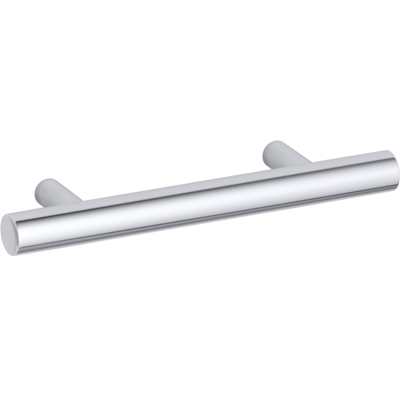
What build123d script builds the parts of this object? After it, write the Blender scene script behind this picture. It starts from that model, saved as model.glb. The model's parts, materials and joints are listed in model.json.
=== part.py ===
from build123d import *
import os
from math import radians, sqrt, tan

# A drawer pull: a solid round bar carried on two round posts, all polished and plated.
# The bar lies along X and the posts along Y. The drawer front is the plane Y = 0, with the pull
# on its -Y side, and Z is up. The origin is midway between the two screw holes in the feet.
# Each post stands in a flat-bottomed socket in the back of the bar, and a headless set screw
# holds the two together from inside. All sizes are in millimetres.

# Bar
bar_diameter = 12.7
bar_length = 127.0
bar_end_radius = 0.8

# Posts
hole_spacing = 76.2
projection = 34.5
post_diameter = 8.8
foot_edge_radius = 0.35
seat_chamfer = 0.3

# Sockets in the bar: the shoulder is the round wall left below the saddle-shaped mouth
socket_clearance = 0.03
socket_shoulder = 0.5

# Set screws, drawn at the pitch diameter of an M5 thread, where the two threads meet
set_screw_diameter = 4.48
set_screw_length = 12.0
set_screw_in_bar = 5.6
set_screw_chamfer = 0.5
set_screw_clearance = 0.02
set_screw_end_gap = 0.5
key_size = 2.5
key_depth = 2.4
cup_diameter = 2.4
cup_angle = 120.0

# Screw holes in the feet, at the tapping drill of a No. 8-32 machine screw
screw_hole_diameter = 3.454
web_between_holes = 2.5
drill_point_angle = 118.0

# Worked out from the sizes above
bar_radius = bar_diameter / 2
bar_axis_y = bar_radius - projection
post_radius = post_diameter / 2
socket_radius = post_radius + socket_clearance
seat_y = bar_axis_y + sqrt(bar_radius**2 - socket_radius**2) - socket_shoulder
tapped_radius = set_screw_diameter / 2 + set_screw_clearance
screw_hole_radius = screw_hole_diameter / 2
post_places = {"left": -hole_spacing / 2, "right": hole_spacing / 2}


def cone_height(radius, angle):
    """Height of a cone of this radius and full point angle."""
    return radius / tan(radians(angle / 2))


# Depths of the full-width part of each blind hole
bar_hole_depth = set_screw_in_bar + set_screw_end_gap
post_hole_depth = set_screw_length - set_screw_in_bar + set_screw_end_gap
post_hole_reach = post_hole_depth + cone_height(tapped_radius, drill_point_angle)
screw_hole_point = cone_height(screw_hole_radius, drill_point_angle)
screw_hole_depth = -seat_y - post_hole_reach - web_between_holes - screw_hole_point


def into_bar(x, y):
    """Plane square to a post's axis, facing the front of the pull."""
    return Plane(origin=(x, y, 0), x_dir=(1, 0, 0), z_dir=(0, -1, 0))


def into_drawer(x, y):
    """Plane square to a post's axis, facing the drawer front."""
    return Plane(origin=(x, y, 0), x_dir=(1, 0, 0), z_dir=(0, 1, 0))


def turned(*outline):
    """Solid of revolution about local Z, from an outline of (radius, height) corners."""
    profile = make_face(Plane.XZ * Polyline(*outline, close=True))
    return revolve(profile, Axis.Z)


def blind_hole(radius, depth):
    """Drilled hole from local Z = 0 upwards, with the cone that a drill leaves at its end."""
    tip = depth + cone_height(radius, drill_point_angle)
    return turned((0, 0), (radius, 0), (radius, depth), (0, tip))


def make_bar():
    """Solid round bar with rounded ends, and a socket and a tapped hole behind for each post."""
    bar = Pos(0, bar_axis_y, 0) * Rot(0, 90, 0) * Cylinder(bar_radius, bar_length)
    end_edges = bar.edges().filter_by(GeomType.CIRCLE)
    bar = fillet(end_edges, bar_end_radius)
    for x in post_places.values():
        socket = extrude(into_drawer(x, seat_y) * Circle(socket_radius), bar_diameter)
        bar -= socket
        bar -= into_bar(x, seat_y) * blind_hole(tapped_radius, bar_hole_depth)
    return bar


def make_post(x):
    """Round post from its seat in the bar to its foot, bored from both ends."""
    post = extrude(into_bar(x, 0) * Circle(post_radius), -seat_y)
    post = fillet(post.edges().sort_by(Axis.Y)[-1], foot_edge_radius)
    post = chamfer(post.edges().sort_by(Axis.Y)[0], seat_chamfer)
    post -= into_drawer(x, seat_y) * blind_hole(tapped_radius, post_hole_depth)
    post -= into_bar(x, 0) * blind_hole(screw_hole_radius, screw_hole_depth)
    return post


def make_set_screw(x):
    """Headless set screw: a hexagon key socket towards the foot, a cup point in the bar."""
    radius = set_screw_diameter / 2
    key_end = set_screw_length
    screw = turned(
        (0, 0),
        (radius - set_screw_chamfer, 0),
        (radius, set_screw_chamfer),
        (radius, key_end - set_screw_chamfer),
        (radius - set_screw_chamfer, key_end),
        (0, key_end),
    )
    key = RegularPolygon(key_size / 2, 6, major_radius=False)
    screw -= extrude(Pos(0, 0, key_end) * key, -key_depth)
    cup_radius = cup_diameter / 2
    screw -= turned((0, 0), (cup_radius, 0), (0, cone_height(cup_radius, cup_angle)))
    return into_drawer(x, seat_y - set_screw_in_bar) * screw


os.makedirs("parts", exist_ok=True)
export_step(make_bar(), "parts/bar.step")
for side, x in post_places.items():
    export_step(make_post(x), f"parts/{side}_post.step")
    export_step(make_set_screw(x), f"parts/{side}_set_screw.step")
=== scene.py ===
import json
from math import cos, pi, radians, sin, tan

import bmesh
import bpy
import numpy as np
from mathutils import Matrix, Vector


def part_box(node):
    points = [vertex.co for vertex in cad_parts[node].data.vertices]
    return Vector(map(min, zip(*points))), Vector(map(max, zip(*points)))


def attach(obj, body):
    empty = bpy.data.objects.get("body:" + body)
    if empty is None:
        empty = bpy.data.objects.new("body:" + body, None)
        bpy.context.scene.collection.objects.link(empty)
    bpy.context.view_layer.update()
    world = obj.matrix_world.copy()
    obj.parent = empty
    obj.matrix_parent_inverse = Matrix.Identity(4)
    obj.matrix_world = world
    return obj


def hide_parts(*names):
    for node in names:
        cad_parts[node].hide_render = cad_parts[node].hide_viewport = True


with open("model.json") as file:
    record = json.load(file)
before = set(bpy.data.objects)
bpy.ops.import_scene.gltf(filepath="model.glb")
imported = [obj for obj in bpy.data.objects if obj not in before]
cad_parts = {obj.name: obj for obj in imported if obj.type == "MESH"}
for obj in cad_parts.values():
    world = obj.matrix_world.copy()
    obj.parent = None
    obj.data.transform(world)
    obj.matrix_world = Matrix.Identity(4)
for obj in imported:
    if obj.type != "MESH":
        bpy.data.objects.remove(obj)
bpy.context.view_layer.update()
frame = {"record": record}

# A drawer pull in polished chrome: a round bar on two round posts. Metres, Z up. The drawer front
# would be the plane Y = 0, and the pull stands out from it towards -Y.

mm = 0.001

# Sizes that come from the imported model
bar_low, bar_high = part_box("bar")
post_low, post_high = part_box("left_post")
screw_low, screw_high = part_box("left_set_screw")
mounts = {mount["name"]: mount for mount in frame["record"]["mounts"]}
screw_hole = mounts["left_screw_hole"]["dims"]
bar_length = bar_high.x - bar_low.x
bar_radius = (bar_high.z - bar_low.z) / 2
bar_axis_y = bar_high.y - bar_radius
post_radius = (post_high.x - post_low.x) / 2
post_x = -(post_high.x + post_low.x) / 2
post_places = {"left": -post_x, "right": post_x}
seat_y = post_low.y
set_screw_length = screw_high.y - screw_low.y
set_screw_end_y = screw_low.y
set_screw_top_y = screw_high.y
pitch_radius = (screw_high.x - screw_low.x) / 2
screw_hole_radius = screw_hole["r_mm"] * mm
screw_hole_depth = screw_hole["length_mm"] * mm

# Ends of the bar: buffing leaves the 0.8 mm edge of the solid tighter in the middle, and rolls the
# barrel and the end face off beside it
bar_end_radius = 0.64 * mm
side_roll_length = 0.8 * mm
side_roll_angle = radians(5)
face_roll_length = 1.1 * mm
face_roll_angle = radians(7)

# Edges and clearances, as in the solids
foot_edge_radius = 0.35 * mm
seat_chamfer = 0.3 * mm
socket_clearance = 0.03 * mm
set_screw_end_gap = 0.5 * mm
key_size = 2.5 * mm
key_depth = 2.4 * mm
cup_radius = 1.2 * mm
cup_angle = radians(120)
drill_point_angle = radians(118)

# Threads: No. 8-32 in the feet, M5 round the set screws
foot_thread_pitch = 25.4 * mm / 32
foot_thread_depth = 0.36 * mm
foot_thread_length = 10.6 * mm
foot_mouth_radius = 2.3 * mm
inner_thread_pitch = 0.8 * mm
inner_thread_depth = 0.42 * mm
thread_clearance = 0.02 * mm
thread_end_gap = 0.1 * mm
thread_flat = 0.1  # part of the pitch that is flat, at the crest and at the root
thread_run_out = 0.5  # turns over which a thread fades out at its ends
tapped_radius = pitch_radius + thread_clearance - inner_thread_depth / 2
set_screw_root = pitch_radius - thread_clearance - inner_thread_depth / 2

# Ends of the set screws, beyond the thread
set_screw_thread_margin = 0.3 * mm
set_screw_bevel_length = 0.25 * mm
set_screw_bevel_depth = 0.1 * mm
key_lead_in = 0.15 * mm
key_mouth_widening = 1.06  # times the width of the key socket, at its mouth

# How finely the round surfaces are cut
bar_segments = 288
post_segments = 160
screw_segments = 96
hidden_rows_per_turn = 10
foot_rows_per_turn = 20
edge_steps = 10
support_gap = 0.06 * mm  # from an edge to the row that keeps the shading beside it flat
crease_angle = radians(28)
seam_tolerance = 0.002 * mm

# Places in the list of materials of a bar or post, for its surface, its flat ends and its holes
plated, faced, bare = 0, 1, 2

# A face is square to the axis when its normal follows the axis at least this closely
square_to_axis = 0.999


def arc(centre_radius, centre_height, radius, start, end):
    """Points (radius, height) along a rounded edge; angles are measured from the outward radius."""
    points = []
    for angle in np.linspace(start, end, edge_steps + 1):
        points.append((centre_radius + radius * cos(angle), centre_height + radius * sin(angle)))
    return points


def thread_rows(radius, depth, pitch, start, end, segments, rows_per_turn=hidden_rows_per_turn):
    """Rows of a right-hand thread from height start to end, its depth added outwards."""
    turn = np.arange(segments) / segments
    count = int(abs(end - start) / pitch * rows_per_turn)
    rows = []
    for height in np.linspace(start, end, count + 1):
        across = np.mod(height / pitch - turn, 1.0)
        slope = np.abs(2 * across - 1)
        flank = np.clip((slope - thread_flat) / (1 - 2 * thread_flat), 0, 1)
        inside = min(abs(height - start), abs(height - end)) / (thread_run_out * pitch)
        rows.append((radius + depth * flank * min(1.0, inside), height))
    return rows


def turned_mesh(name, rows, segments):
    """Closed mesh of revolution about local Z from rows of (radius or radii, height), pole to pole."""
    angles = 2 * pi * np.arange(segments) / segments
    around = np.stack([np.cos(angles), np.sin(angles)], 1)
    points = [(0, 0, rows[0][1])]
    for radius, height in rows[1:-1]:
        ring = around * (np.ones(segments) * radius)[:, None]
        points += [(x, y, height) for x, y in ring]
    points.append((0, 0, rows[-1][1]))
    last = len(points) - 1
    last_ring = last - segments
    faces = []
    for here in range(segments):
        after = (here + 1) % segments
        faces.append((0, 1 + after, 1 + here))
        for low in range(1, last_ring, segments):
            high = low + segments
            faces.append((low + here, low + after, high + after, high + here))
        faces.append((last_ring + here, last_ring + after, last))
    mesh = bpy.data.meshes.new(name)
    mesh.from_pydata(points, [], faces)
    shade_with_creases(mesh)
    return mesh


def shade_with_creases(mesh):
    """Shade smoothly, apart from the edges that turn by more than the crease angle."""
    mesh.shade_smooth()
    mesh.set_sharp_from_angle(angle=crease_angle)


def smooth_across(mesh, low, high, radius):
    """Shade smoothly across the thread inside a hole, as the rows of the mesh don't follow its crest."""
    inside = [low < point.co.z < high and point.co.xy.length < radius for point in mesh.vertices]
    for edge in mesh.edges:
        if all(inside[end] for end in edge.vertices):
            edge.use_edge_sharp = False


def add_object(name, data):
    """An object in the scene for a mesh, a lamp or a camera."""
    added = bpy.data.objects.new(name, data)
    bpy.context.scene.collection.objects.link(added)
    return added


def add_piece(name, mesh, matrix, node, materials):
    """An object for a CAD node, in its place, riding on the one body of this part."""
    piece = add_object(name, mesh)
    piece.matrix_world = matrix
    for material in materials:
        mesh.materials.append(material)
    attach(piece, "root")
    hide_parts(node)


def along_bar():
    """Local Z along +X, on the bar's axis."""
    return Matrix.Translation((0, bar_axis_y, 0)) @ Matrix.Rotation(radians(90), 4, "Y")


def along_post(x, y):
    """Local Z along +Y, on a post's axis."""
    return Matrix.Translation((x, y, 0)) @ Matrix.Rotation(radians(-90), 4, "X")


def cone_height(radius, angle):
    """Height of a cone of this radius and full point angle."""
    return radius / tan(angle / 2)


# Bar

def bar_blank():
    """Plain round bar centred on local Z, barrel and end faces rolled off near the edge between them."""
    half = bar_length / 2
    side_radius = side_roll_length / sin(side_roll_angle)
    face_radius = face_roll_length / sin(face_roll_angle)
    side_drop = side_radius * (1 - cos(side_roll_angle))
    face_drop = face_radius * (1 - cos(face_roll_angle))
    edge_place = bar_radius - side_drop - bar_end_radius * cos(side_roll_angle)
    edge_height = half - face_drop - bar_end_radius * cos(face_roll_angle)
    face_place = edge_place + bar_end_radius * sin(face_roll_angle) - face_roll_length
    side_height = edge_height + bar_end_radius * sin(side_roll_angle) - side_roll_length
    end = [(0, half), (face_place / 2, half), (face_place - support_gap, half)]
    end += arc(face_place, half - face_radius, face_radius, pi / 2, pi / 2 - face_roll_angle)
    end += arc(edge_place, edge_height, bar_end_radius, pi / 2 - face_roll_angle, side_roll_angle)[1:]
    end += arc(bar_radius - side_radius, side_height, side_radius, side_roll_angle, 0)[1:]
    end.append((bar_radius, side_height - 4 * support_gap))
    rows = [(radius, -height) for radius, height in end] + end[::-1]
    return turned_mesh("bar_blank", rows, bar_segments)


def socket_cutter():
    """What is cut away for one post: the socket and below it the tapped hole. Local Z leaves the bar."""
    hole_end = set_screw_end_y - set_screw_end_gap - seat_y
    socket_radius = post_radius + socket_clearance
    rows = [(0, hole_end - cone_height(tapped_radius, drill_point_angle)), (tapped_radius, hole_end)]
    rows += thread_rows(tapped_radius, inner_thread_depth, inner_thread_pitch,
                        hole_end + thread_end_gap, -thread_end_gap, screw_segments)
    rows += [(tapped_radius, 0), (socket_radius, 0), (socket_radius, bar_radius), (0, bar_radius)]
    return turned_mesh("socket_cutter", rows, screw_segments)


def clean_seams(mesh):
    """Join the points that the cuts leave closer together than any real detail."""
    seams = bmesh.new()
    seams.from_mesh(mesh)
    bmesh.ops.remove_doubles(seams, verts=seams.verts, dist=seam_tolerance)
    bmesh.ops.dissolve_degenerate(seams, dist=seam_tolerance, edges=seams.edges)
    seams.to_mesh(mesh)
    seams.free()


def bar_mesh():
    """The blank with a socket and a tapped hole cut in for each post."""
    blank = add_object("bar_blank", bar_blank())
    blank.matrix_world = along_bar()
    cutters = []
    for x in post_places.values():
        cutter = add_object("socket_cutter", socket_cutter())
        cutter.matrix_world = along_post(x, seat_y)
        modifier = blank.modifiers.new("socket", "BOOLEAN")
        modifier.operation = "DIFFERENCE"
        modifier.solver = "EXACT"
        modifier.object = cutter
        cutters.append(cutter)
    bpy.context.view_layer.update()
    shape = blank.evaluated_get(bpy.context.evaluated_depsgraph_get())
    mesh = bpy.data.meshes.new_from_object(shape)
    mesh.name = "chrome_bar"
    mesh.materials.clear()
    for spare in [blank, *cutters]:
        bpy.data.objects.remove(spare)
    clean_seams(mesh)
    shade_with_creases(mesh)
    return mesh


def build_bar(materials):
    """The bar, its faces given their materials by where they lie."""
    mesh = bar_mesh()
    barrel_wall = 0.98 * bar_radius
    end_thickness = 0.01 * mm
    for face in mesh.polygons:
        from_end = bar_length / 2 - abs(face.center.z)
        on_end = abs(face.normal.z) > square_to_axis and abs(from_end) < end_thickness
        within = from_end > bar_end_radius and face.center.xy.length < barrel_wall
        face.material_index = faced if on_end else bare if within else plated
    add_piece("chrome_bar", mesh, along_bar(), "bar", materials)


# Posts

def post_mesh():
    """Post with its seat at local Z = 0 and its foot at the top; both holes have their real thread."""
    foot = -seat_y
    seat_hole_end = set_screw_top_y - seat_y + set_screw_end_gap
    foot_hole_end = foot - screw_hole_depth
    thread_top = foot - (foot_mouth_radius - screw_hole_radius)
    thread_bottom = foot - foot_thread_length
    edge_place = post_radius - foot_edge_radius
    edge_height = foot - foot_edge_radius
    rows = [(0, seat_hole_end + cone_height(tapped_radius, drill_point_angle)),
            (tapped_radius, seat_hole_end)]
    rows += thread_rows(tapped_radius, inner_thread_depth, inner_thread_pitch,
                        seat_hole_end - thread_end_gap, thread_end_gap, post_segments)
    rows += [(tapped_radius, 0), (post_radius - seat_chamfer, 0), (post_radius, seat_chamfer),
             (post_radius, seat_chamfer + support_gap), (post_radius, edge_height - support_gap)]
    rows += arc(edge_place, edge_height, foot_edge_radius, 0, pi / 2)
    rows += [(edge_place - support_gap, foot), (foot_mouth_radius, foot)]
    rows += thread_rows(screw_hole_radius, foot_thread_depth, foot_thread_pitch,
                        thread_top, thread_bottom, post_segments, foot_rows_per_turn)
    rows += [(screw_hole_radius, foot_hole_end),
             (0, foot_hole_end - cone_height(screw_hole_radius, drill_point_angle))]
    mesh = turned_mesh("chrome_post", rows, post_segments)
    smooth_across(mesh, thread_bottom, thread_top, foot_mouth_radius)
    for face in mesh.polygons:
        off_axis = face.center.xy.length
        on_foot = face.normal.z > square_to_axis and off_axis > foot_mouth_radius
        on_seat = face.normal.z < -square_to_axis and off_axis < post_radius
        in_hole = off_axis < foot_mouth_radius
        face.material_index = faced if on_foot else bare if in_hole or on_seat else plated
    return mesh


def build_posts(materials):
    mesh = post_mesh()
    for side, x in post_places.items():
        add_piece(f"chrome_{side}_post", mesh.copy(), along_post(x, seat_y), f"{side}_post",
                  materials)


# Set screws

def hexagon(across_flats, segments):
    """Radii of a hexagon, one for each segment."""
    angle = 2 * pi * np.arange(segments) / segments
    return across_flats / 2 / np.cos(np.mod(angle, pi / 3) - pi / 6)


def set_screw_mesh():
    """Set screw with its cup point at local Z = 0 and its hexagon key socket at the top."""
    top = set_screw_length
    key = hexagon(key_size, screw_segments)
    end_radius = set_screw_root - set_screw_bevel_depth
    rows = [(0, cone_height(cup_radius, cup_angle)), (cup_radius, 0), (end_radius, 0),
            (set_screw_root, set_screw_bevel_length)]
    rows += thread_rows(set_screw_root, inner_thread_depth, inner_thread_pitch,
                        set_screw_thread_margin, top - set_screw_thread_margin, screw_segments)
    rows += [(set_screw_root, top - set_screw_bevel_length), (end_radius, top),
             (key * key_mouth_widening, top), (key, top - key_lead_in), (key, top - key_depth),
             (0, top - key_depth - cone_height(key_size / 2, drill_point_angle))]
    return turned_mesh("steel_set_screw", rows, screw_segments)


def build_set_screws(materials):
    mesh = set_screw_mesh()
    for side, x in post_places.items():
        add_piece(f"steel_{side}_set_screw", mesh.copy(), along_post(x, set_screw_end_y),
                  f"{side}_set_screw", materials)


# Materials

chrome_color = (0.61, 0.615, 0.65)
faced_color = (0.617, 0.615, 0.664)
chrome_edge_color = (0.785, 0.795, 0.81)
tapped_color = (0.50, 0.49, 0.47)
steel_color = (0.42, 0.42, 0.43)


class Nodes:
    """Short ways to add and join shader nodes in one tree."""

    def __init__(self, tree):
        self.tree = tree
        tree.nodes.clear()

    def add(self, kind, **settings):
        node = self.tree.nodes.new(kind)
        for key, value in settings.items():
            setattr(node, key, value)
        return node

    def join(self, source, target):
        self.tree.links.new(source, target)

    def output(self, surface, kind="ShaderNodeOutputMaterial"):
        """Make this shader the one that the tree gives out."""
        self.join(surface, self.add(kind).inputs["Surface"])

    def place(self):
        """Place in the object's own space."""
        return self.add("ShaderNodeTexCoord").outputs["Object"]

    def split(self, vector):
        node = self.add("ShaderNodeSeparateXYZ")
        self.join(vector, node.inputs["Vector"])
        return [node.outputs[axis] for axis in "XYZ"]

    def stretched(self, vector, factors):
        node = self.add("ShaderNodeMapping")
        node.inputs["Scale"].default_value = factors
        self.join(vector, node.inputs["Vector"])
        return node.outputs["Vector"]

    def noise(self, vector, scale, detail, roughness=0.5):
        node = self.add("ShaderNodeTexNoise")
        for key, number in (("Scale", scale), ("Detail", detail), ("Roughness", roughness)):
            node.inputs[key].default_value = number
        self.join(vector, node.inputs["Vector"])
        return node.outputs["Fac"]

    def math(self, operation, first, second=None):
        node = self.add("ShaderNodeMath", operation=operation)
        for socket, value in zip(node.inputs, (first, second)):
            if isinstance(value, (int, float)):
                socket.default_value = value
            elif value is not None:
                self.join(value, socket)
        return node.outputs[0]

    def product(self, first, *others):
        for other in others:
            first = self.math("MULTIPLY", first, other)
        return first

    def rest(self, value):
        """What a value leaves of 1."""
        return self.math("SUBTRACT", 1, value)

    def distance(self, first, second, centre=(0, 0)):
        """How far two coordinates lie from a centre."""
        squares = []
        for value, middle in zip((first, second), centre):
            offset = self.math("SUBTRACT", value, middle)
            squares.append(self.product(offset, offset))
        return self.math("SQRT", self.math("ADD", *squares))

    def fade(self, value, start, end, smooth=False):
        """Level between two stops of (value, level), and the nearer stop's level beyond them."""
        node = self.add("ShaderNodeMapRange", interpolation_type="SMOOTHSTEP" if smooth else "LINEAR")
        self.join(value, node.inputs["Value"])
        for key, number in (("From Min", start[0]), ("To Min", start[1]),
                            ("From Max", end[0]), ("To Max", end[1])):
            node.inputs[key].default_value = number
        return node.outputs["Result"]

    def ramp(self, value, stops):
        """Level eased through rising stops of (value, level); levels are 0 to 1."""
        low, high = stops[0][0], stops[-1][0]
        node = self.add("ShaderNodeValToRGB")
        node.color_ramp.interpolation = "EASE"
        self.join(self.fade(value, (low, 0), (high, 1)), node.inputs["Fac"])
        elements = node.color_ramp.elements
        while len(elements) < len(stops):
            elements.new(0.5)
        for element, (place, level) in zip(elements, stops):
            element.position = (place - low) / (high - low)
            element.color = (level, level, level, 1)
        return node.outputs["Color"]


def new_material(name):
    material = bpy.data.materials.new(name)
    material.use_nodes = True
    return material, Nodes(material.node_tree)


def metal_shader(nodes, color, roughness, height, bump_distance, edge_color=(1, 1, 1)):
    """Metal with a constant colour, its roughness and its relief taken from textures.

    The edge colour is how much of the usual brightening is left where the metal is seen edge-on.
    """
    shader = nodes.add("ShaderNodeBsdfPrincipled")
    shader.inputs["Base Color"].default_value = (*color, 1)
    shader.inputs["Metallic"].default_value = 1
    shader.inputs["Specular Tint"].default_value = (*edge_color, 1)
    nodes.join(roughness, shader.inputs["Roughness"])
    bump = nodes.add("ShaderNodeBump")
    bump.inputs["Distance"].default_value = bump_distance
    nodes.join(height, bump.inputs["Height"])
    nodes.join(bump.outputs["Normal"], shader.inputs["Normal"])
    nodes.output(shader.outputs["BSDF"])


def polished_chrome(name):
    """Mirror plating over buffed metal: faint long polishing marks and a very slight waviness."""
    least_roughness = 0.035
    marks_roughness = 0.02
    haze_roughness = 0.03
    marks_relief = 0.05
    wave_height = 0.004 * mm
    material, nodes = new_material(name)
    place = nodes.place()
    marks = nodes.noise(nodes.stretched(place, (1, 1, 0.06)), scale=900, detail=3)
    haze = nodes.noise(place, scale=60, detail=2)
    waves = nodes.noise(nodes.stretched(place, (1, 1, 0.35)), scale=160, detail=1)
    both = nodes.math("ADD", nodes.product(marks, marks_roughness), nodes.product(haze, haze_roughness))
    roughness = nodes.math("ADD", both, least_roughness)
    height = nodes.math("ADD", waves, nodes.product(marks, marks_relief))
    metal_shader(nodes, chrome_color, roughness, height, wave_height, chrome_edge_color)
    return material


def faced_chrome(name, least_roughness, ring_pitch, ring_height):
    """Flat face turned on a lathe: fine rings round local Z, plated over."""
    ring_wobble = 0.3 * ring_pitch
    haze_roughness = 0.08
    haze_relief = 0.4
    material, nodes = new_material(name)
    place = nodes.place()
    x, y, _ = nodes.split(place)
    wobble = nodes.product(nodes.noise(place, scale=300, detail=2), ring_wobble)
    turns = nodes.product(nodes.math("ADD", nodes.distance(x, y), wobble), 2 * pi / ring_pitch)
    rings = nodes.math("SINE", turns)
    haze = nodes.noise(place, scale=700, detail=3)
    roughness = nodes.math("ADD", nodes.product(haze, haze_roughness), least_roughness)
    height = nodes.math("ADD", rings, nodes.product(haze, haze_relief))
    metal_shader(nodes, faced_color, roughness, height, ring_height, chrome_edge_color)
    return material


def cut_metal(name, color):
    """Bare metal as drill, tap or die leaves it."""
    cut_height = 0.006 * mm
    material, nodes = new_material(name)
    cuts = nodes.noise(nodes.stretched(nodes.place(), (1, 1, 8)), scale=900, detail=4, roughness=0.7)
    roughness = nodes.fade(cuts, (0.3, 0.28), (0.7, 0.5))
    metal_shader(nodes, color, roughness, cuts, cut_height)
    return material


# Studio

# The curved cards stand on a cylinder round the bar's axis, cut into small faces
card_distance = 400 * mm
card_columns = 120
card_rows = 120

# Tint of the cards' light where it is darker than white
shade_tint = (0.97, 1.0, 1.05)


def tinted(level):
    """Light of this level; darker than white, it is a little bluer."""
    depth = max(0.0, 1.0 - level)
    return [level * (1 + (part - 1) * depth) for part in shade_tint]


def smooth_through(places, levels, angles):
    """Smooth curve through levels at their places, read at the angles given."""
    slopes = np.gradient(levels, places)
    first = np.clip(np.searchsorted(places, angles) - 1, 0, len(places) - 2)
    width = places[first + 1] - places[first]
    share = (angles - places[first]) / width
    rest = 1 - share
    from_first = (1 + 2 * share) * rest**2 * levels[first]
    from_second = (1 + 2 * rest) * share**2 * levels[first + 1]
    from_slopes = share * rest * (rest * slopes[first] - share * slopes[first + 1])
    return from_first + from_second + width * from_slopes


def flat_mesh(name, corners):
    """Mesh of one flat face."""
    mesh = bpy.data.meshes.new(name)
    mesh.from_pydata(corners, [], [(0, 1, 2, 3)])
    return mesh


def only_in_reflections(name, mesh, material):
    """A card in the scene that nothing but reflections shows."""
    material.cycles.emission_sampling = "NONE"
    mesh.materials.append(material)
    card = add_object(name, mesh)
    card.visible_camera = False
    card.visible_diffuse = False
    card.visible_transmission = False
    card.visible_volume_scatter = False
    card.visible_shadow = False


def glow(nodes, color, hole=None):
    """Light of one colour, or of what a node gives, and nothing at all where the hole is 1."""
    light = nodes.add("ShaderNodeEmission")
    if isinstance(color, tuple):
        light.inputs["Color"].default_value = color
    else:
        nodes.join(color, light.inputs["Color"])
    surface = light.outputs["Emission"]
    if hole is not None:
        mix = nodes.add("ShaderNodeMixShader")
        clear = nodes.add("ShaderNodeBsdfTransparent")
        nodes.join(hole, mix.inputs["Fac"])
        nodes.join(surface, mix.inputs[1])
        nodes.join(clear.outputs["BSDF"], mix.inputs[2])
        surface = mix.outputs["Shader"]
    nodes.output(surface)


def curved_card(name, start, end, stations):
    """Lit or dark card along X from start to end in mm, bent round the bar's axis.

    Each station is (x in mm, angles, levels). The angles go up the card: 0 degrees is to the front,
    90 up and -90 down. Level 1 is white. Between stations angles and levels change evenly, and
    beyond the outer ones they stay as they are. In the photograph's view the left end of the barrel
    reflects what is near x = 97, and its right end what is near x = 255.
    """
    places = np.array([x for x, _, _ in stations]) * mm
    all_stops = np.array([(angles, levels) for _, angles, levels in stations], float)
    points, light = [], []
    for x in np.linspace(start * mm, end * mm, card_columns + 1):
        stops = np.apply_along_axis(lambda values: np.interp(x, places, values), 0, all_stops)
        angles = np.linspace(stops[0, 0], stops[0, -1], card_rows + 1)
        for angle, level in zip(np.radians(angles), smooth_through(*stops, angles)):
            points.append((x, bar_axis_y - card_distance * cos(angle), card_distance * sin(angle)))
            light.append((*tinted(max(0.0, level)), 1))
    column_points = card_rows + 1
    faces = []
    for column in range(card_columns):
        for row in range(card_rows):
            here = column * column_points + row
            after = here + column_points
            faces.append((here, here + 1, after + 1, after))
    mesh = bpy.data.meshes.new(name)
    mesh.from_pydata(points, [], faces)
    attribute = mesh.attributes.new("light", "FLOAT_COLOR", "POINT")
    attribute.data.foreach_set("color", np.array(light, np.float32).ravel())
    material, nodes = new_material(name)
    glow(nodes, nodes.add("ShaderNodeAttribute", attribute_name="light").outputs["Color"])
    only_in_reflections(name, mesh, material)


def build_top_flag():
    """Black flag overhead: the upper dark line, which pales and spreads towards the right."""
    left = (83.5, 87.5, 93.2, 97.3, 102.5)
    middle = (83.7, 87.7, 93.3, 97.4, 102.8)
    right = (84.5, 88.5, 93.9, 98.1, 104)
    curved_card("top_flag", 55, 600, [
        (55, left, (0.12, 0.0, 0.42, 0.97, 1.0)),
        (110, left, (0.16, 0.02, 0.42, 0.97, 1.0)),
        (145, middle, (0.2, 0.1, 0.43, 0.95, 1.0)),
        (250, right, (0.28, 0.25, 0.46, 0.9, 1.0))])


def build_soft_box():
    """Bright box in front, brightest a little above the bar, and grey beyond its left edge."""
    left = (-49.5, -43, -36, -18, 18, 44, 60, 83.5)
    middle = (-52, -44, -36, -18, 18, 44, 60, 83.7)
    right = (-58.5, -50, -40, -18, 18, 44, 60, 84.5)
    curved_card("soft_box", -360, 600, [
        (-75, left, (0.5, 0.5, 0.5, 0.5, 0.5, 0.6, 0.8, 1.0)),
        (30, left, (1.08, 1.12, 1.25, 1.45, 1.65, 1.4, 0.9, 0.6)),
        (55, left, (1.1, 1.15, 1.28, 1.5, 1.7, 1.45, 0.85, 0.3)),
        (75, left, (1.1, 1.15, 1.28, 1.5, 1.7, 1.5, 0.7, 0.1)),
        (90, left, (1.06, 1.12, 1.24, 1.44, 1.64, 1.45, 1.0, 0.14)),
        (110, left, (1.02, 1.09, 1.2, 1.39, 1.59, 1.41, 0.99, 0.16)),
        (147, middle, (0.97, 0.99, 1.11, 1.34, 1.56, 1.38, 0.99, 0.2)),
        (250, right, (0.87, 0.94, 1.05, 1.23, 1.47, 1.25, 0.99, 0.28))])


def build_lower_flag():
    """Thin black flag below the soft box: the lower dark line, with grey under it."""
    left = (-75, -69, -65.5, -61.3, -57.4, -54.3, -49.5)
    middle = (-76.5, -71.5, -67.8, -63.4, -59.4, -56.6, -52)
    past_middle = (-78, -73.5, -70, -65.6, -61.8, -58.6, -54)
    right = (-81, -77.8, -74.9, -70.2, -65.6, -62, -58.5)
    past_right = (-81, -77.8, -74.9, -70.6, -66.4, -62.8, -58.5)
    curved_card("lower_flag", 40, 600, [
        (84, left, (0.6, 0.58, 0.54, 0.5, 0.62, 0.84, 1.02)),
        (94, left, (0.6, 0.6, 0.5, 0.26, 0.49, 0.84, 1.02)),
        (110, left, (0.6, 0.6, 0.49, 0.2, 0.44, 0.81, 1.02)),
        (147, middle, (0.56, 0.54, 0.42, 0.05, 0.36, 0.75, 0.97)),
        (180, past_middle, (0.52, 0.49, 0.36, 0.12, 0.47, 0.87, 0.95)),
        (250, right, (0.44, 0.43, 0.32, 0.06, 0.37, 0.75, 0.87)),
        (300, past_right, (0.41, 0.36, 0.26, 0.1, 0.4, 0.78, 0.87)),
        (400, past_right, (0.12, 0.1, 0.08, 0.06, 0.12, 0.3, 0.5))])


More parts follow.
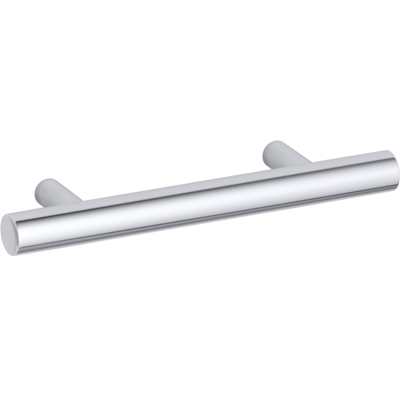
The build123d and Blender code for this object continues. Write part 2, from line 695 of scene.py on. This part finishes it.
def build_floor_flag():
    """Dark band below, for the lower edge of the barrel, which ends in white towards the back."""
    left = (-120, -112, -102, -93.5, -84, -75)
    right = (-120, -112, -102, -93.5, -85, -81)
    curved_card("floor_flag", 30, 600, [
        (110, left, (1.0, 0.76, 0.48, 0.28, 0.46, 0.6)),
        (250, right, (0.97, 0.73, 0.48, 0.27, 0.4, 0.44)),
        (300, right, (0.97, 0.73, 0.45, 0.26, 0.36, 0.41)),
        (400, right, (0.97, 0.7, 0.4, 0.15, 0.12, 0.12))])


def build_left_flag():
    """Upright grey card on the far left."""
    x = -400 * mm
    front, back = -430 * mm, 0
    half_height = 250 * mm
    level = 0.5
    mesh = flat_mesh("left_flag", [(x, front, -half_height), (x, back, -half_height),
                                   (x, back, half_height), (x, front, half_height)])
    material, nodes = new_material("left_flag")
    glow(nodes, (*tinted(level), 1))
    only_in_reflections("left_flag", mesh, material)


def shade_behind_bar(nodes, sideways, up, from_post, near_right):
    """Shade of the bar, deepest a little below it, and lifted above and to the right of each post."""
    half = bar_length / 2
    along = nodes.fade(nodes.math("ABSOLUTE", sideways), (0.87 * half, 1), (1.27 * half, 0), smooth=True)
    level = nodes.ramp(up, [
        (-32 * mm, 1.0), (-20 * mm, 0.7), (-10 * mm, 0.52), (-3 * mm, 0.65), (3 * mm, 0.78),
        (8 * mm, 0.88), (20 * mm, 1.0)])
    lifted = nodes.product(nodes.fade(from_post, (-6 * mm, 0), (1 * mm, 1), smooth=True), near_right,
                           nodes.fade(up, (1 * mm, 0), (6 * mm, 1), smooth=True))
    return nodes.rest(nodes.product(along, nodes.rest(lifted), nodes.rest(level)))


def shade_below_right(nodes, up, from_post, near_right):
    """Slight shade low on the right of each post."""
    beside = nodes.fade(from_post, (2 * mm, 0), (7 * mm, 0.22))
    below = nodes.fade(up, (2 * mm, 1), (7 * mm, 0))
    return nodes.rest(nodes.product(beside, near_right, below))


def shade_at_foot(nodes, up, from_post):
    """Painted contact shadow: a dark ring where the drawer front meets the foot."""
    from_foot = nodes.distance(from_post, up, centre=(-0.6 * mm, -1.0 * mm))
    return nodes.fade(from_foot, (3.3 * mm, 0.5), (6.6 * mm, 1.0))


def shade_past_left_end(nodes, sideways, up):
    """Painted shade under a sloping line beyond the bar's left end, and a little painted light beside the
    end.
    """
    slope = 0.8
    slope_foot = -95 * mm
    over_slope = nodes.math("ADD", up, nodes.product(nodes.math("SUBTRACT", sideways, slope_foot), slope))
    dark = nodes.product(nodes.fade(sideways, (-92 * mm, 1), (-73 * mm, 0), smooth=True),
                         nodes.fade(over_slope, (0, 0.5), (45 * mm, 0), smooth=True),
                         nodes.fade(up, (-20 * mm, 0.6), (-6 * mm, 1.0)))
    brighter = nodes.product(nodes.fade(sideways, (-80 * mm, 0), (-72 * mm, 0.1)),
                             nodes.fade(sideways, (-66 * mm, 1), (-58 * mm, 0)))
    return nodes.math("ADD", nodes.rest(dark), brighter)


def build_front_wall():
    """The white drawer front, as the metal sees it, with the shade of the bar and posts painted into its
    light, and a hole under each foot.
    """
    half_width = 400 * mm
    bottom, top = -50 * mm, 260 * mm
    gap = 0.3 * mm
    hole_radius = 0.86 * post_radius
    mesh = flat_mesh("front_wall", [(-half_width, gap, bottom), (half_width, gap, bottom),
                                    (half_width, gap, top), (-half_width, gap, top)])
    material, nodes = new_material("front_wall")
    sideways, _, up = nodes.split(nodes.place())
    nearest_post = nodes.product(nodes.math("SIGN", sideways), post_x)
    from_post = nodes.math("SUBTRACT", sideways, nearest_post)
    near_right = nodes.fade(from_post, (16 * mm, 1), (24 * mm, 0), smooth=True)
    level = nodes.product(
        shade_behind_bar(nodes, sideways, up, from_post, near_right),
        shade_at_foot(nodes, up, from_post),
        shade_past_left_end(nodes, sideways, up),
        shade_below_right(nodes, up, from_post, near_right))
    under_foot = nodes.math("LESS_THAN", nodes.distance(from_post, up), hole_radius)
    glow(nodes, level, hole=under_foot)
    only_in_reflections("front_wall", mesh, material)


def as_background(nodes):
    """1 for what the camera, a mirror or glass shows, and 0 for the light thrown on other surfaces."""
    path = nodes.add("ShaderNodeLightPath")
    seen = nodes.math("MAXIMUM", path.outputs["Is Camera Ray"], path.outputs["Is Glossy Ray"])
    return nodes.math("MAXIMUM", seen, path.outputs["Is Transmission Ray"])


def build_world():
    """White to the camera, to reflections and through glass, and a plain soft light on everything else."""
    soft_level = 0.55
    world = bpy.data.worlds.new("studio")
    bpy.context.scene.world = world
    world.use_nodes = True
    nodes = Nodes(world.node_tree)
    background = nodes.add("ShaderNodeBackground")
    background.inputs["Color"].default_value = (1, 1, 1, 1)
    strength = nodes.fade(as_background(nodes), (0, soft_level), (1, 1.0))
    nodes.join(strength, background.inputs["Strength"])
    nodes.output(background.outputs["Background"], "ShaderNodeOutputWorld")


def build_lamp():
    """One plain soft lamp from the upper left, as even as light from a large bright ceiling."""
    data = bpy.data.lights.new("key_lamp", "SUN")
    data.angle = radians(50)
    data.energy = 2.0
    lamp = add_object("key_lamp", data)
    lamp.rotation_euler = (radians(28), radians(-22), 0)
    lamp.visible_glossy = False


def build_floor():
    """Plain pale floor, far enough below for its shadow to stay faint."""
    half_width = 20.0
    height = -0.25
    white_share = 0.75
    mesh = flat_mesh("floor", [(-half_width, -half_width, height), (half_width, -half_width, height),
                               (half_width, half_width, height), (-half_width, half_width, height)])
    material, nodes = new_material("pale_floor")
    diffuse = nodes.add("ShaderNodeBsdfDiffuse")
    diffuse.inputs["Color"].default_value = (0.95, 0.95, 0.95, 1)
    white = nodes.add("ShaderNodeEmission")
    mix = nodes.add("ShaderNodeMixShader")
    nodes.join(nodes.product(as_background(nodes), white_share), mix.inputs["Fac"])
    nodes.join(diffuse.outputs["BSDF"], mix.inputs[1])
    nodes.join(white.outputs["Emission"], mix.inputs[2])
    nodes.output(mix.outputs["Shader"])
    mesh.materials.append(material)
    floor = add_object("floor", mesh)
    floor.visible_glossy = False


def build_camera():
    """The photograph's view, from the left, in front and above, through a long lens."""
    azimuth = radians(-25.63)
    elevation = radians(20.71)
    distance = 1.805
    aim_right = -0.72 * mm
    aim_up = 0.70 * mm
    back = Vector((sin(azimuth) * cos(elevation), -cos(azimuth) * cos(elevation), sin(elevation)))
    right = Vector((cos(azimuth), sin(azimuth), 0))
    up = right.cross(-back)
    target = Vector((0, bar_axis_y, 0)) + right * aim_right + up * aim_up
    data = bpy.data.cameras.new("camera")
    data.lens = 543.25
    data.sensor_width = 36
    data.clip_end = 100
    camera = add_object("camera", data)
    camera.location = target + back * distance
    camera.rotation_euler = Matrix((right, up, back)).transposed().to_euler()
    bpy.context.scene.camera = camera


barrel_chrome = polished_chrome("barrel_chrome")
post_chrome = polished_chrome("post_chrome")
end_chrome = faced_chrome("end_chrome", least_roughness=0.08, ring_pitch=0.22 * mm, ring_height=0.0003 * mm)
foot_chrome = faced_chrome("foot_chrome", least_roughness=0.16, ring_pitch=0.16 * mm, ring_height=0.002 * mm)
bare_metal = cut_metal("bare_metal", tapped_color)
screw_steel = cut_metal("screw_steel", steel_color)

build_bar([barrel_chrome, end_chrome, bare_metal])
build_posts([post_chrome, foot_chrome, bare_metal])
build_set_screws([screw_steel])
build_world()
build_lamp()
build_front_wall()
build_top_flag()
build_soft_box()
build_lower_flag()
build_floor_flag()
build_left_flag()
build_floor()
build_camera()
bpy.context.scene.view_settings.view_transform = "Standard"
